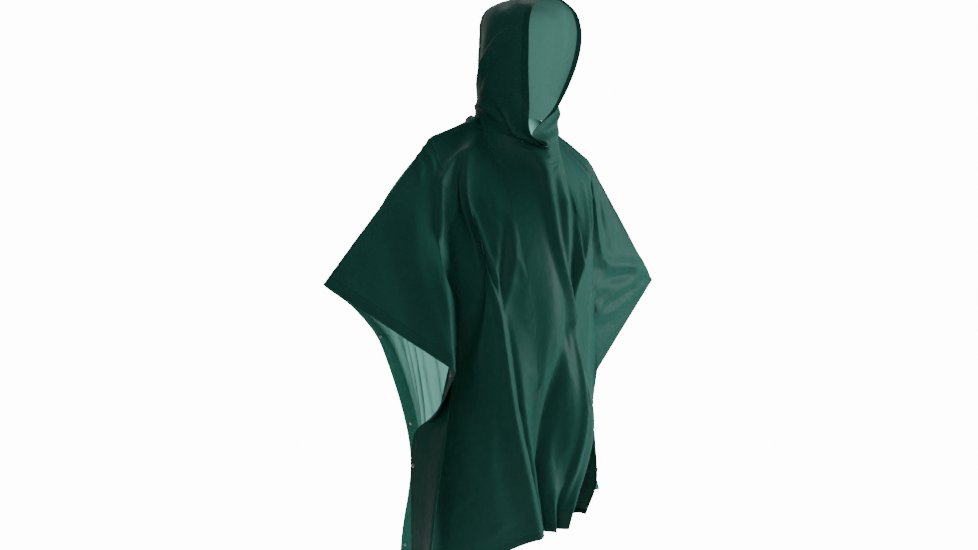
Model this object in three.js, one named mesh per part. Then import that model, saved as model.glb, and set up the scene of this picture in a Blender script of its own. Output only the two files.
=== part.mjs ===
// Hooded vinyl rain poncho as it hangs when worn, in millimetres.
// +Z is up, the wearer faces -Y, and the wearer's left arm is toward +X.
// The origin lies between the shoulders, at the height where the sheet crosses them.
import * as THREE from 'three';

// The sheet, laid flat
const SHEET_WIDTH = 1320;
const FRONT_DROP = 930;
const BACK_DROP = 1100;
const HALF_WIDTH = SHEET_WIDTH / 2;
const SIDE_HEM = 25;
const BOTTOM_HEM = 22;
const CASING = 20;
const HOOD_REACH = 240;

// The neck hole, laid flat
const NECK_HALF_WIDTH = 95;
const NECK_FRONT_DROP = 110;
const NECK_BACK_DROP = 60;

// Solids
const WALL = 1.5;
const HEM_WALL = 0.9;
const SEAM_GAP = 0.3;
const RIM_DROP = 0.8;

// Where the arms hold the sheet up
const SHOULDER_ACROSS = 220;
const SLEEVE_DROP = 300;
const SLEEVES = {
  right: {
    shoulder: [-235, 0, -25],
    corner: [-550, -65, -320],
    tip: [-362, -236, -488],
  },
  left: {
    shoulder: [225, 0, -60],
    corner: [552, 95, -348],
    tip: [330, 70, -557],
  },
};

// Snap fasteners
const SNAP_DROPS = [400, 650, 900];
const SNAP_CAP = { radius: 4.8, height: 1.6, lift: 0.3 };
const SNAP_RING = { radius: 3.6, height: 1, lift: 0.6 };
const SNAP_LEEWAY = 75;
const SNAP_SIDES = 14;

// Where the single snap beside the neck sits on the right half of the hood's grid
const NECK_SNAP = { column: 6, row: 13 };

// Mesh density
const SLEEVE_COLUMNS = 12;
const NECK_COLUMNS = 5;
const YOKE_ROWS = 6;
const SKIRT_ROWS = 18;
const YOKE_DEPTH = 60;
const HOOD_COLUMNS = 16;
const HOOD_ROWS = 14;

const VINYL = { color: 0x1d5a4a, roughness: 0.38, metalness: 0 };
const VINYL_DOUBLE = { color: 0x154638, roughness: 0.4, metalness: 0 };
const SNAP_METAL = { color: 0x9aa7a2, roughness: 0.3, metalness: 0.8 };

// Vertical guide lines of the front. Each row: distance across the sheet, then the point that the
// line passes at a quarter, a half and three quarters of the way down, and at the hem.
const FRONT_LINES = [
  { across: -660, points: [[-312, -112, -585], [-290, -8, -648], [-300, -14, -800], [-292, -5, -958]] },
  { across: -570, points: [[-284, -120, -525], [-304, -72, -655], [-318, -78, -808], [-308, -62, -958]] },
  { across: -470, points: [[-240, -88, -440], [-318, -150, -625], [-338, -140, -795], [-325, -98, -950]] },
  { across: -390, points: [[-208, -62, -375], [-262, -62, -585], [-262, -55, -772], [-262, -60, -935]] },
  { across: -290, points: [[-188, -108, -300], [-205, -108, -515], [-196, -106, -730], [-178, -102, -905]] },
  { across: -170, points: [[-188, -95, -215], [-140, -136, -440], [-92, -140, -665], [-45, -138, -866]] },
  { across: -100, points: [[-115, -122, -205], [-72, -140, -437], [-40, -112, -655], [-20, -105, -866]] },
  { across: -30, points: [[-38, -141, -228], [-5, -143, -440], [20, -100, -650], [-2, -136, -868]] },
  { across: 40, points: [[35, -138, -228], [55, -118, -440], [78, -117, -650], [14, -98, -870]] },
  { across: 110, points: [[92, -122, -212], [84, -92, -432], [140, -104, -655], [42, -128, -868]] },
  { across: 200, points: [[165, -72, -230], [102, -80, -425], [188, -55, -652], [62, -72, -868]] },
  { across: 290, points: [[200, -35, -320], [150, -38, -500], [232, 8, -705], [115, 10, -882]] },
  { across: 380, points: [[236, 0, -425], [215, 12, -575], [262, 50, -745], [185, 55, -890]] },
  { across: 470, points: [[272, 38, -525], [262, 45, -650], [268, 42, -778], [202, 38, -884]] },
  { across: 560, points: [[304, 64, -590], [300, 62, -690], [232, -2, -778], [178, -20, -868]] },
  { across: 660, points: [[331, 86, -652], [288, 34, -728], [180, -76, -790], [144, -78, -858]] },
];
const FRONT_STATIONS = [0, 0.25, 0.5, 0.75, 1];

// Vertical guide lines of the back, with the points at BACK_STATIONS
const BACK_LINES = [
  {
    across: -660,
    points: [[-388, 52, -385], [-275, 118, -475], [-281, 15, -680], [-279, 50, -880], [-284, 58, -1110]],
  },
  {
    across: -630,
    points: [[-376, 60, -372], [-254, 99, -472], [-260, -4, -678], [-258, 31, -880], [-263, 39, -1100]],
  },
  {
    across: -560,
    points: [[-355, 95, -345], [-215, 165, -468], [-218, 62, -675], [-215, 98, -880], [-225, 105, -1085]],
  },
  {
    across: -450,
    points: [[-325, 130, -300], [-168, 215, -425], [-140, 165, -665], [-135, 185, -870], [-150, 175, -1050]],
  },
  {
    across: -340,
    points: [[-285, 150, -240], [-145, 228, -385], [-95, 205, -640], [-80, 235, -850], [-85, 235, -1020]],
  },
  {
    across: -220,
    points: [[-215, 150, -175], [-135, 212, -335], [-70, 225, -560], [-35, 215, -790], [-30, 210, -985]],
  },
  {
    across: -110,
    points: [[-115, 165, -115], [-85, 205, -285], [-15, 245, -525], [15, 255, -745], [15, 262, -965]],
  },
  {
    across: 0,
    points: [[0, 175, -150], [8, 195, -315], [40, 225, -545], [60, 215, -750], [65, 205, -965]],
  },
  {
    across: 110,
    points: [[115, 165, -120], [110, 208, -290], [105, 240, -525], [115, 255, -740], [115, 265, -950]],
  },
  {
    across: 220,
    points: [[215, 152, -205], [185, 210, -360], [165, 205, -585], [165, 200, -790], [165, 195, -940]],
  },
  {
    across: 340,
    points: [[300, 185, -270], [250, 240, -420], [225, 235, -620], [225, 245, -790], [225, 255, -925]],
  },
  {
    across: 450,
    points: [[375, 205, -345], [300, 235, -475], [270, 215, -640], [275, 190, -785], [265, 165, -905]],
  },
  {
    across: 560,
    points: [[425, 215, -430], [340, 215, -505], [330, 230, -640], [345, 225, -770], [345, 205, -885]],
  },
  {
    across: 660,
    points: [[450, 205, -500], [352, 192, -530], [365, 195, -645], [398, 168, -768], [410, 140, -868]],
  },
];
const BACK_STATIONS = [0, 0.2, 0.36, 0.58, 0.78, 1];

// Guide lines of each hood half from the nape seam to the face edge, with the points at
// HOOD_STATIONS from the neck up to the centre seam
const HOOD_LINES = {
  right: [
    [[0, 85, 35], [0, 88, 62], [0, 92, 105], [0, 88, 180], [0, 68, 240], [0, 42, 268]],
    [[-60, 64, 32], [-58, 62, 58], [-54, 58, 105], [-50, 54, 185], [-46, 44, 250], [0, 12, 284]],
    [[-90, 10, 20], [-93, 5, 48], [-95, 0, 105], [-93, -10, 188], [-64, -14, 258], [0, -32, 290]],
    [[-76, -58, -22], [-84, -62, 18], [-90, -65, 98], [-90, -70, 190], [-64, -72, 258], [0, -76, 289]],
    [[0, -110, -46], [-64, -121, -20], [-67, -119, 45], [-74, -124, 145], [-62, -122, 242], [0, -118, 283]],
  ],
  left: [
    [[0, 85, 35], [0, 88, 62], [0, 92, 105], [0, 88, 180], [0, 68, 240], [0, 42, 268]],
    [[62, 66, 32], [64, 67, 58], [68, 66, 105], [68, 60, 185], [50, 44, 250], [0, 12, 284]],
    [[90, 10, 20], [93, 5, 48], [95, 0, 105], [98, -10, 188], [76, -14, 258], [0, -32, 290]],
    [[74, -58, -20], [70, -62, 20], [62, -66, 85], [84, -70, 180], [74, -72, 256], [0, -76, 289]],
    [[0, -110, -46], [8, -110, -14], [28, -110, 42], [90, -110, 160], [82, -110, 244], [0, -118, 283]],
  ],
};
const HOOD_LINE_AT = [0, 0.25, 0.5, 0.75, 1];
const HOOD_STATIONS = [0, 0.1, 0.27, 0.56, 0.82, 1];

// Creases pressed into the sheet: from and to on the flat sheet, half width, and height,
// with troughs negative. Distances down the back are negative.
const CREASES = [
  { from: [-120, 20], to: [-265, 130], width: 24, height: 9 },
  { from: [-150, 60], to: [-235, 30], width: 18, height: -6 },
  { from: [-128, 170], to: [-122, 330], width: 18, height: -12 },
  { from: [-10, 130], to: [60, 280], width: 22, height: 6 },
  { from: [60, 280], to: [150, 440], width: 22, height: 9 },
  { from: [185, 120], to: [185, 430], width: 26, height: 9 },
  { from: [100, 180], to: [130, 400], width: 20, height: -7 },
  { from: [250, 200], to: [225, 430], width: 26, height: -10 },
  { from: [560, 110], to: [380, 250], width: 26, height: 8 },
  { from: [600, 200], to: [450, 280], width: 22, height: -7 },
  { from: [-420, 60], to: [-610, 220], width: 34, height: 4 },
  { from: [-250, -60], to: [-330, -420], width: 30, height: 9 },
  { from: [-120, -90], to: [-160, -520], width: 28, height: -8 },
  { from: [40, -110], to: [20, -700], width: 30, height: 8 },
  { from: [170, -90], to: [220, -480], width: 28, height: -9 },
  { from: [300, -60], to: [400, -420], width: 30, height: 9 },
  { from: [-480, -300], to: [-520, -900], width: 30, height: -8 },
  { from: [480, -420], to: [500, -900], width: 30, height: -8 },
];

// Vector helpers on [x, y, z]
const add = (a, b) => a.map((value, i) => value + b[i]);
const sub = (a, b) => a.map((value, i) => value - b[i]);
const scale = (a, factor) => a.map((value) => value * factor);
const mix = (a, b, share) => a.map((value, i) => value + (b[i] - value) * share);
const dot = (a, b) => a.reduce((sum, value, i) => sum + value * b[i], 0);
const length = (a) => Math.sqrt(dot(a, a));
const unit = (a) => scale(a, 1 / length(a));
const cross = (a, b) => [
  a[1] * b[2] - a[2] * b[1],
  a[2] * b[0] - a[0] * b[2],
  a[0] * b[1] - a[1] * b[0],
];
const clamp = (value, low, high) => Math.min(high, Math.max(low, value));

// A smooth curve through the given points, which are met at the given places
function through(places, points, at) {
  const last = places.length - 1;
  let i = 0;
  while (i < last - 1 && at > places[i + 1]) i += 1;
  const span = places[i + 1] - places[i];
  const share = clamp((at - places[i]) / span, 0, 1);
  const slope = (k) => {
    const before = Math.max(k - 1, 0);
    const after = Math.min(k + 1, last);
    return scale(sub(points[after], points[before]), span / (places[after] - places[before]));
  };
  const square = share * share;
  const cube = square * share;
  const start = scale(points[i], 2 * cube - 3 * square + 1);
  const startSlope = scale(slope(i), cube - 2 * square + share);
  const end = scale(points[i + 1], 3 * square - 2 * cube);
  const endSlope = scale(slope(i + 1), cube - square);
  return add(add(start, startSlope), add(end, endSlope));
}

// Hood surface: around from the nape seam (0) to the face edge (1), up from the neck (0) to the
// centre seam (1)
function hoodPoint(side, around, up) {
  const guides = HOOD_LINES[side].map((points) => through(HOOD_STATIONS, points, up));
  return through(HOOD_LINE_AT, guides, around);
}

const sideOf = (across) => (across < 0 ? 'right' : 'left');

// The rim of the neck hole at a distance across the sheet, on the front or the back
function neckRim(across, isFront) {
  const turn = Math.asin(clamp(Math.abs(across) / NECK_HALF_WIDTH, 0, 1)) / Math.PI;
  const around = isFront ? 1 - turn : turn;
  const point = hoodPoint(sideOf(across), around, 0);
  const outward = unit([point[0], point[1], 0]);
  return add(point, add(scale(outward, SEAM_GAP), [0, 0, -RIM_DROP]));
}

// The highest point of each sheet column: the neck rim, or the fold over the shoulder and arm
function topLine(across, isFront) {
  const reach = Math.abs(across);
  if (reach < NECK_HALF_WIDTH) return neckRim(across, isFront);
  const sleeve = SLEEVES[sideOf(across)];
  const neckSide = neckRim(Math.sign(across) * NECK_HALF_WIDTH, isFront);
  if (reach < SHOULDER_ACROSS) {
    const share = (reach - NECK_HALF_WIDTH) / (SHOULDER_ACROSS - NECK_HALF_WIDTH);
    return mix(neckSide, sleeve.shoulder, share);
  }
  return mix(sleeve.shoulder, sleeve.corner, sleeveShare(across));
}

const sleeveShare = (across) => clamp(
  (Math.abs(across) - SHOULDER_ACROSS) / (HALF_WIDTH - SHOULDER_ACROSS), 0, 1);

// Distance down the flat sheet at which a column starts
function topDrop(across, isFront) {
  const share = Math.abs(across) / NECK_HALF_WIDTH;
  const depth = isFront ? NECK_FRONT_DROP : NECK_BACK_DROP;
  return share < 1 ? depth * Math.sqrt(1 - share * share) : 0;
}

// On the front the sleeve is a flat triangle down to a fold that runs from the shoulder to its tip
const foldDrop = (across, isFront) => (isFront ? SLEEVE_DROP * sleeveShare(across) : 0);

function foldPoint(across, isFront) {
  const share = sleeveShare(across);
  if (!isFront || share === 0) return topLine(across, isFront);
  const sleeve = SLEEVES[sideOf(across)];
  return mix(sleeve.shoulder, sleeve.tip, share);
}

const PANELS = {
  front: { isFront: true, drop: FRONT_DROP, lines: FRONT_LINES, stations: FRONT_STATIONS },
  back: { isFront: false, drop: BACK_DROP, lines: BACK_LINES, stations: BACK_STATIONS },
};
for (const panel of Object.values(PANELS)) {
  panel.places = panel.lines.map((line) => line.across);
  panel.guides = panel.lines.map((line) => [foldPoint(line.across, panel.isFront), ...line.points]);
}

// The draped sheet before its creases, at a distance across and a distance down one panel
function drapedPoint(panel, across, down) {
  const start = Math.max(topDrop(across, panel.isFront), foldDrop(across, panel.isFront));
  if (down < start && sleeveShare(across) > 0) {
    const sleeve = SLEEVES[sideOf(across)];
    const slope = scale(sub(sleeve.tip, sleeve.corner), down / SLEEVE_DROP);
    return add(topLine(across, panel.isFront), slope);
  }
  const share = (down - start) / (panel.drop - start);
  const row = panel.guides.map((points) => through(panel.stations, points, share));
  const firstRow = panel.guides.map((points) => points[0]);
  const miss = sub(foldPoint(across, panel.isFront), through(panel.places, firstRow, across));
  const fade = clamp(1 - share / panel.stations[1], 0, 1) ** 2;
  return add(through(panel.places, row, across), scale(miss, fade));
}

// The whole draped sheet, with distances down the back as negative numbers
function sheetPoint(across, down) {
  const panel = down < 0 ? PANELS.back : PANELS.front;
  return drapedPoint(panel, across, Math.abs(down));
}

function normalOf(surface, across, down, reach) {
  const step = 5;
  const left = surface(clamp(across - step, -reach, reach), down);
  const right = surface(clamp(across + step, -reach, reach), down);
  const [upper, lower] = downSteps(across, down, step);
  return unit(cross(sub(right, left), sub(surface(across, upper), surface(across, lower))));
}

// The pair of places just above and below one on the sheet, kept off the neck hole
function downSteps(across, down, step) {
  const rim = topDrop(across, down >= 0);
  const limit = down >= 0 ? FRONT_DROP : BACK_DROP;
  const size = Math.max(Math.abs(down), rim);
  const away = Math.min(size + step, limit);
  const inward = rim > 0 ? Math.max(size - step, rim) : size - step;
  return down >= 0 ? [inward, away] : [-away, -inward];
}

function creaseHeight(across, down) {
  let height = 0;
  for (const crease of CREASES) {
    const along = sub([...crease.to, 0], [...crease.from, 0]);
    const offset = sub([across, down, 0], [...crease.from, 0]);
    const share = dot(offset, along) / dot(along, along);
    const nearest = scale(along, clamp(share, 0, 1));
    const off = length(sub(offset, nearest)) / crease.width;
    height += crease.height * Math.exp(-off * off);
  }
  return height;
}

function creasedPoint(across, down) {
  const normal = normalOf(sheetPoint, across, down, HALF_WIDTH);
  const rim = topDrop(across, down >= 0);
  const fade = clamp((Math.abs(down) - rim) / YOKE_DEPTH, 0, 1);
  return add(sheetPoint(across, down), scale(normal, creaseHeight(across, down) * fade));
}

// Columns of the sheet grid, closer together along the side hems and round the neck
function sheetColumns() {
  const half = [];
  for (let i = 0; i < NECK_COLUMNS; i += 1) {
    half.push(NECK_HALF_WIDTH * Math.sin((Math.PI / 2) * (i / NECK_COLUMNS)));
  }
  const outer = HALF_WIDTH - SIDE_HEM;
  const spans = SLEEVE_COLUMNS + 4;
  for (let i = 0; i <= spans; i += 1) {
    half.push(NECK_HALF_WIDTH + (outer - NECK_HALF_WIDTH) * (i / spans));
  }
  half.push(HALF_WIDTH);
  const mirrored = half.slice(1).reverse().map((across) => -across);
  return [...mirrored, ...half];
}

// Drops of the grid rows in one column, which follow the sleeve fold
function columnDrops(panel, across) {
  const top = Math.max(topDrop(across, panel.isFront), SEAM_GAP / 2);
  const knee = Math.max(foldDrop(across, panel.isFront), top + YOKE_DEPTH);
  const hem = panel.drop - BOTTOM_HEM;
  const drops = [];
  for (let i = 0; i < YOKE_ROWS; i += 1) drops.push(top + (knee - top) * (i / YOKE_ROWS));
  for (let i = 0; i <= SKIRT_ROWS; i += 1) drops.push(knee + (hem - knee) * (i / SKIRT_ROWS));
  drops.push(panel.drop);
  return drops;
}

// Grid of places on a panel: outer points and outward normals. On the shoulder fold the front and
// the back share one normal, so that their inner walls stay apart.
function sheetGrid(panel) {
  const sign = panel.isFront ? 1 : -1;
  return sheetColumns().map((across) => columnDrops(panel, across).map((drop) => {
    const onFold = drop <= SEAM_GAP;
    const normal = normalOf(creasedPoint, across, onFold ? 0 : sign * drop, HALF_WIDTH);
    return { point: creasedPoint(across, sign * drop), normal };
  }));
}

// A grid's part between two columns and two rows
const cut = (grid, columns, rows) => grid
  .slice(columns[0], columns[1] + 1)
  .map((column) => column.slice(rows[0], rows[1] + 1));

// A closed shell from a grid: outer and inner faces lie at two depths below the grid's points
function shell(grid, depth, thickness) {
  const columns = grid.length;
  const rows = grid[0].length;
  const layer = (below) => grid.flat().map((node) => add(node.point, scale(node.normal, -below)));
  const points = [...layer(depth), ...layer(depth + thickness)];
  const inner = columns * rows;
  const at = (i, j) => i * rows + j;
  const faces = [];
  const quad = (a, b, c, d) => faces.push(a, b, c, a, c, d);
  for (let i = 0; i < columns - 1; i += 1) {
    for (let j = 0; j < rows - 1; j += 1) {
      quad(at(i, j), at(i, j + 1), at(i + 1, j + 1), at(i + 1, j));
      quad(inner + at(i, j), inner + at(i + 1, j), inner + at(i + 1, j + 1), inner + at(i, j + 1));
    }
  }
  const border = [];
  for (let j = 0; j < rows - 1; j += 1) border.push(at(0, j));
  for (let i = 0; i < columns - 1; i += 1) border.push(at(i, rows - 1));
  for (let j = rows - 1; j > 0; j -= 1) border.push(at(columns - 1, j));
  for (let i = columns - 1; i > 0; i -= 1) border.push(at(i, 0));
  border.forEach((here, k) => {
    const next = border[(k + 1) % border.length];
    quad(here, inner + here, inner + next, next);
  });
  const geometry = new THREE.BufferGeometry();
  geometry.setAttribute('position', new THREE.Float32BufferAttribute(points.flat(), 3));
  geometry.setIndex(faces);
  geometry.computeVertexNormals();
  return geometry;
}

const poncho = new THREE.Group();

function place(name, geometry, look) {
  const mesh = new THREE.Mesh(geometry, new THREE.MeshStandardMaterial(look));
  mesh.name = name;
  poncho.add(mesh);
  return mesh;
}

// Turned-in hems lie on the inside of a panel, a seam gap away from it
const HEM_DEPTH = WALL + SEAM_GAP;
const hemShell = (grid) => shell(grid, HEM_DEPTH, HEM_WALL);

// Draws the ends of a strip in by a seam gap, so that it clears the strips across its ends
function drawnIn(grid) {
  const last = grid.length - 1;
  const toward = (here, next) => here.map((node, j) => {
    const step = unit(sub(next[j].point, node.point));
    return { ...node, point: add(node.point, scale(step, SEAM_GAP)) };
  });
  return grid.map((column, i) => {
    if (i === 0) return toward(column, grid[1]);
    if (i === last) return toward(column, grid[last - 1]);
    return column;
  });
}

// A disc that faces along a facet's normal, with its near face at the given height above the facet
function disc(size, facet, height) {
  const geometry = new THREE.CylinderGeometry(size.radius, size.radius, size.height, SNAP_SIDES);
  const axis = new THREE.Vector3(0, 1, 0);
  const normal = new THREE.Vector3(...facet.normal);
  geometry.applyQuaternion(new THREE.Quaternion().setFromUnitVectors(axis, normal));
  const middle = height + Math.sign(height) * (size.height / 2);
  geometry.translate(...add(facet.centre, scale(facet.normal, middle)));
  return geometry;
}

// The centre of the largest circle inside a triangle, and the triangle's normal
function facetOf(a, b, c) {
  const sides = [length(sub(b, c)), length(sub(c, a)), length(sub(a, b))];
  const round = sides[0] + sides[1] + sides[2];
  const weighted = add(add(scale(a, sides[0]), scale(b, sides[1])), scale(c, sides[2]));
  return { centre: scale(weighted, 1 / round), normal: unit(cross(sub(b, a), sub(c, a))) };
}

// The flattest facet of a hem column within the leeway of a drop
function flattestFacet(panel, grid, i, drop) {
  const drops = columnDrops(panel, HALF_WIDTH);
  const facets = [];
  for (let j = 1; j < drops.length - 2; j += 1) {
    if (Math.abs((drops[j] + drops[j + 1]) / 2 - drop) > SNAP_LEEWAY) continue;
    const [a, b, c, d] = [grid[i][j], grid[i][j + 1], grid[i + 1][j + 1], grid[i + 1][j]];
    const around = cut(grid, [Math.max(i - 1, 0), i + 2], [j - 1, j + 2]).flat();
    facets.push({ corners: [a, b, c], around }, { corners: [a, c, d], around });
  }
  const bend = ({ corners, around }) => {
    const { centre, normal } = facetOf(...corners.map((node) => node.point));
    const tilts = around.map((node) => dot(unit(sub(node.point, centre)), normal));
    return tilts.reduce((sum, tilt) => sum + tilt * tilt, 0);
  };
  return facets.sort((one, other) => bend(one) - bend(other))[0].corners;
}

// A snap fastener in the side hem: a cap outside, and a ring on the turned-in hem
function snap(name, panel, grid, i, drop) {
  const corners = flattestFacet(panel, grid, i, drop);
  const outer = facetOf(...corners.map((node) => node.point));
  const depth = WALL + SEAM_GAP + HEM_WALL;
  const inner = facetOf(...corners.map((node) => add(node.point, scale(node.normal, -depth))));
  place(`${name}_cap`, disc(SNAP_CAP, outer, SNAP_CAP.lift), SNAP_METAL);
  place(`${name}_ring`, disc(SNAP_RING, inner, -SNAP_RING.lift), SNAP_METAL);
}

// The back's rows run the other way round, so its columns are taken from left to right
function orderedGrid(panel) {
  const grid = sheetGrid(panel);
  return panel.isFront ? grid : grid.reverse();
}

for (const [name, panel] of Object.entries(PANELS)) {
  const grid = orderedGrid(panel);
  const lastColumn = grid.length - 1;
  const lastRow = grid[0].length - 1;
  const firstSide = panel.isFront ? 'right' : 'left';
  const lastSide = panel.isFront ? 'left' : 'right';
  place(name, shell(grid, 0, WALL), VINYL);
  place(`hem_${name}_${firstSide}`, hemShell(cut(grid, [0, 1], [0, lastRow])), VINYL_DOUBLE);
  place(
    `hem_${name}_${lastSide}`,
    hemShell(cut(grid, [lastColumn - 1, lastColumn], [0, lastRow])),
    VINYL_DOUBLE,
  );
  const bottom = drawnIn(cut(grid, [1, lastColumn - 1], [lastRow - 1, lastRow]));
  place(`hem_${name}_bottom`, hemShell(bottom), VINYL_DOUBLE);
  for (const side of [firstSide, lastSide]) {
    SNAP_DROPS.forEach((drop, k) => {
      const column = side === firstSide ? 0 : lastColumn - 1;
      snap(`snap_${name}_${side}_${k + 1}`, panel, grid, column, drop);
    });
  }
}

// Normals along the centre seam and at the chin stay in the middle plane, so that the halves' inner
// walls don't cross it
const seamNormal = (along) => unit([0, along[2], -along[1]]);
const chinNormal = (normal) => unit([0, normal[1], normal[2]]);

// Columns of the hood grid, of which the last is as wide as the casing
function hoodColumns() {
  const casing = 1 - CASING / HOOD_REACH;
  const columns = [];
  for (let i = 0; i < HOOD_COLUMNS; i += 1) columns.push(casing * (i / (HOOD_COLUMNS - 1)));
  columns.push(1);
  return columns;
}

// Hood halves, which stop half a seam gap short of the middle
function hoodGrid(side) {
  const sign = side === 'right' ? -1 : 1;
  const clear = (point) => {
    const x = sign * Math.max(sign * point[0], SEAM_GAP / 2);
    return [x, point[1], point[2]];
  };
  const surface = (around, up) => hoodPoint(side, clamp(around, 0, 1), clamp(up, 0, 1));
  const step = 0.02;
  const grid = hoodColumns().map((around, i) => {
    const column = [];
    for (let j = 0; j <= HOOD_ROWS; j += 1) {
      const up = 1 - j / HOOD_ROWS;
      const forward = sub(surface(around + step, up), surface(around - step, up));
      const rise = sub(surface(around, up + step), surface(around, up - step));
      const ahead = surface(i === 0 && up < 1 ? 0 : around + step, up + step);
      const behind = surface(around - step, i === 0 ? up - step : up);
      let normal = scale(unit(cross(rise, forward)), sign);
      if (i === 0 || j === 0) normal = seamNormal(sub(ahead, behind));
      else if (around === 1 && up === 0) normal = chinNormal(normal);
      column.push({ point: clear(surface(around, up)), normal });
    }
    return column;
  });
  return side === 'right' ? grid : grid.reverse();
}

for (const side of ['right', 'left']) {
  const grid = hoodGrid(side);
  const faceColumns = side === 'right' ? [HOOD_COLUMNS - 1, HOOD_COLUMNS] : [0, 1];
  place(`hood_${side}`, shell(grid, 0, WALL), VINYL);
  place(`hood_casing_${side}`, hemShell(cut(grid, faceColumns, [1, HOOD_ROWS - 1])), VINYL_DOUBLE);
  if (side === 'right') {
    const { column, row } = NECK_SNAP;
    const corners = [grid[column][row], grid[column][row + 1], grid[column + 1][row + 1]];
    const seat = facetOf(...corners.map((node) => node.point));
    place('snap_neck_cap', disc(SNAP_CAP, seat, SNAP_CAP.lift), SNAP_METAL);
  }
}

export default poncho;
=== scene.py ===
# %% [markdown]
# # A hooded vinyl rain poncho, hanging as it does when worn
# The real thing is one big sheet of thin vinyl with a hole for the neck, a hood welded round that
# hole, hems turned in along every edge and a few snap fasteners. Nothing is padded and nothing is
# stiff, so nearly all of its look is in how the sheet folds and how light passes through it.
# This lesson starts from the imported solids, which fix every size, and dresses them.

# %% Load the frame
import bpy
import numpy as np
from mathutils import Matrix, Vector
from mathutils.bvhtree import BVHTree


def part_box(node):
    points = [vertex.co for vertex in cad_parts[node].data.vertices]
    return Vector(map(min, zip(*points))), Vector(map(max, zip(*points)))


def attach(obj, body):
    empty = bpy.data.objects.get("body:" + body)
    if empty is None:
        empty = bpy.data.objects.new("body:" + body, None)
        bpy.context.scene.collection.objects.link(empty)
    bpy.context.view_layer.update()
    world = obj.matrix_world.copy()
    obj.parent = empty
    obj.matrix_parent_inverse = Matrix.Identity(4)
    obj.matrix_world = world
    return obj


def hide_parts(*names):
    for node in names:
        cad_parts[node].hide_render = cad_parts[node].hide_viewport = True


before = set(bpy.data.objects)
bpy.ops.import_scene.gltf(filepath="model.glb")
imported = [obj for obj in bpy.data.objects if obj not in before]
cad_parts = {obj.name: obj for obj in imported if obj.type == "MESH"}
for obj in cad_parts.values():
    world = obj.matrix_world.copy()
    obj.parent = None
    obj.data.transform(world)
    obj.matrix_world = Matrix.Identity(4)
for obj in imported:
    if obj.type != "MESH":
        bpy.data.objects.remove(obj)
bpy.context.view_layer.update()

# %% [markdown]
# ## Camera
# A photographer stands three metres away, to the wearer's right and in front, with the lens level
# with the chest. A real lens is described by its focal length, so the camera is placed in metres
# and only the lens decides how large the garment appears.

# %% Set the camera
EYE = Vector((-2.007, -2.229, -0.200))
AIM = Vector((-0.0425, 0.0383, -0.321))
LENS_MM = 50.2

camera = bpy.data.objects.new("camera", bpy.data.cameras.new("camera"))
camera.data.lens = LENS_MM
camera.location = EYE
camera.rotation_euler = (AIM - EYE).to_track_quat("-Z", "Y").to_euler()
bpy.context.collection.objects.link(camera)
bpy.context.scene.camera = camera
print("camera to garment:", round((AIM - EYE).length, 2), "m")

# %% [markdown]
# ## The flat cut
# Everything is cut from flat vinyl. The body is one rectangle, with a neck hole that is deeper in
# front than behind. Every point of the sheet is named by its flat place: how far across from the
# middle, and how far down from the shoulder line, with the back counted as negative. That flat
# place stays with the sheet when it is draped, so hems, welds and creases can be drawn on it.

# %% Sizes of the cut, in metres
MM = 0.001
SHEET_WIDTH = 1.320
FRONT_DROP = 0.930
BACK_DROP = 1.100
HALF_WIDTH = SHEET_WIDTH / 2
SIDE_HEM = 0.025
BOTTOM_HEM = 0.022
NECK_HALF_WIDTH = 0.095
NECK_FRONT_DROP = 0.110
NECK_BACK_DROP = 0.060
SHOULDER_ACROSS = 0.220
SLEEVE_DROP = 0.300
YOKE_DEPTH = 0.060

# %% [markdown]
# ## The drape
# The arms lift the sheet at two corners each side: at the shoulder and at the wrist. Between them
# it hangs in flat triangles, and below them it falls in long folds. These rows give the same guide
# lines as the solids, in millimetres, so the cloth lies where the solid is. Only the far half of the
# hood sweeps farther under the chin here than its solid does.

# %% Guide lines of the body
SLEEVES = {
    "right": {"shoulder": (-235, 0, -25), "corner": (-550, -65, -320), "tip": (-362, -236, -488)},
    "left": {"shoulder": (225, 0, -60), "corner": (552, 95, -348), "tip": (330, 70, -557)},
}
FRONT_STATIONS = (0, 0.25, 0.5, 0.75, 1)
FRONT_LINES = {
    -660: [(-312, -112, -585), (-290, -8, -648), (-300, -14, -800), (-292, -5, -958)],
    -570: [(-284, -120, -525), (-304, -72, -655), (-318, -78, -808), (-308, -62, -958)],
    -470: [(-240, -88, -440), (-318, -150, -625), (-338, -140, -795), (-325, -98, -950)],
    -390: [(-208, -62, -375), (-262, -62, -585), (-262, -55, -772), (-262, -60, -935)],
    -290: [(-188, -108, -300), (-205, -108, -515), (-196, -106, -730), (-178, -102, -905)],
    -170: [(-188, -95, -215), (-140, -136, -440), (-92, -140, -665), (-45, -138, -866)],
    -100: [(-115, -122, -205), (-72, -140, -437), (-40, -112, -655), (-20, -105, -866)],
    -30: [(-38, -141, -228), (-5, -143, -440), (20, -100, -650), (-2, -136, -868)],
    40: [(35, -138, -228), (55, -118, -440), (78, -117, -650), (14, -98, -870)],
    110: [(92, -122, -212), (84, -92, -432), (140, -104, -655), (42, -128, -868)],
    200: [(165, -72, -230), (102, -80, -425), (188, -55, -652), (62, -72, -868)],
    290: [(200, -35, -320), (150, -38, -500), (232, 8, -705), (115, 10, -882)],
    380: [(236, 0, -425), (215, 12, -575), (262, 50, -745), (185, 55, -890)],
    470: [(272, 38, -525), (262, 45, -650), (268, 42, -778), (202, 38, -884)],
    560: [(304, 64, -590), (300, 62, -690), (232, -2, -778), (178, -20, -868)],
    660: [(331, 86, -652), (288, 34, -728), (180, -76, -790), (144, -78, -858)],
}
BACK_STATIONS = (0, 0.2, 0.36, 0.58, 0.78, 1)
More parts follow.
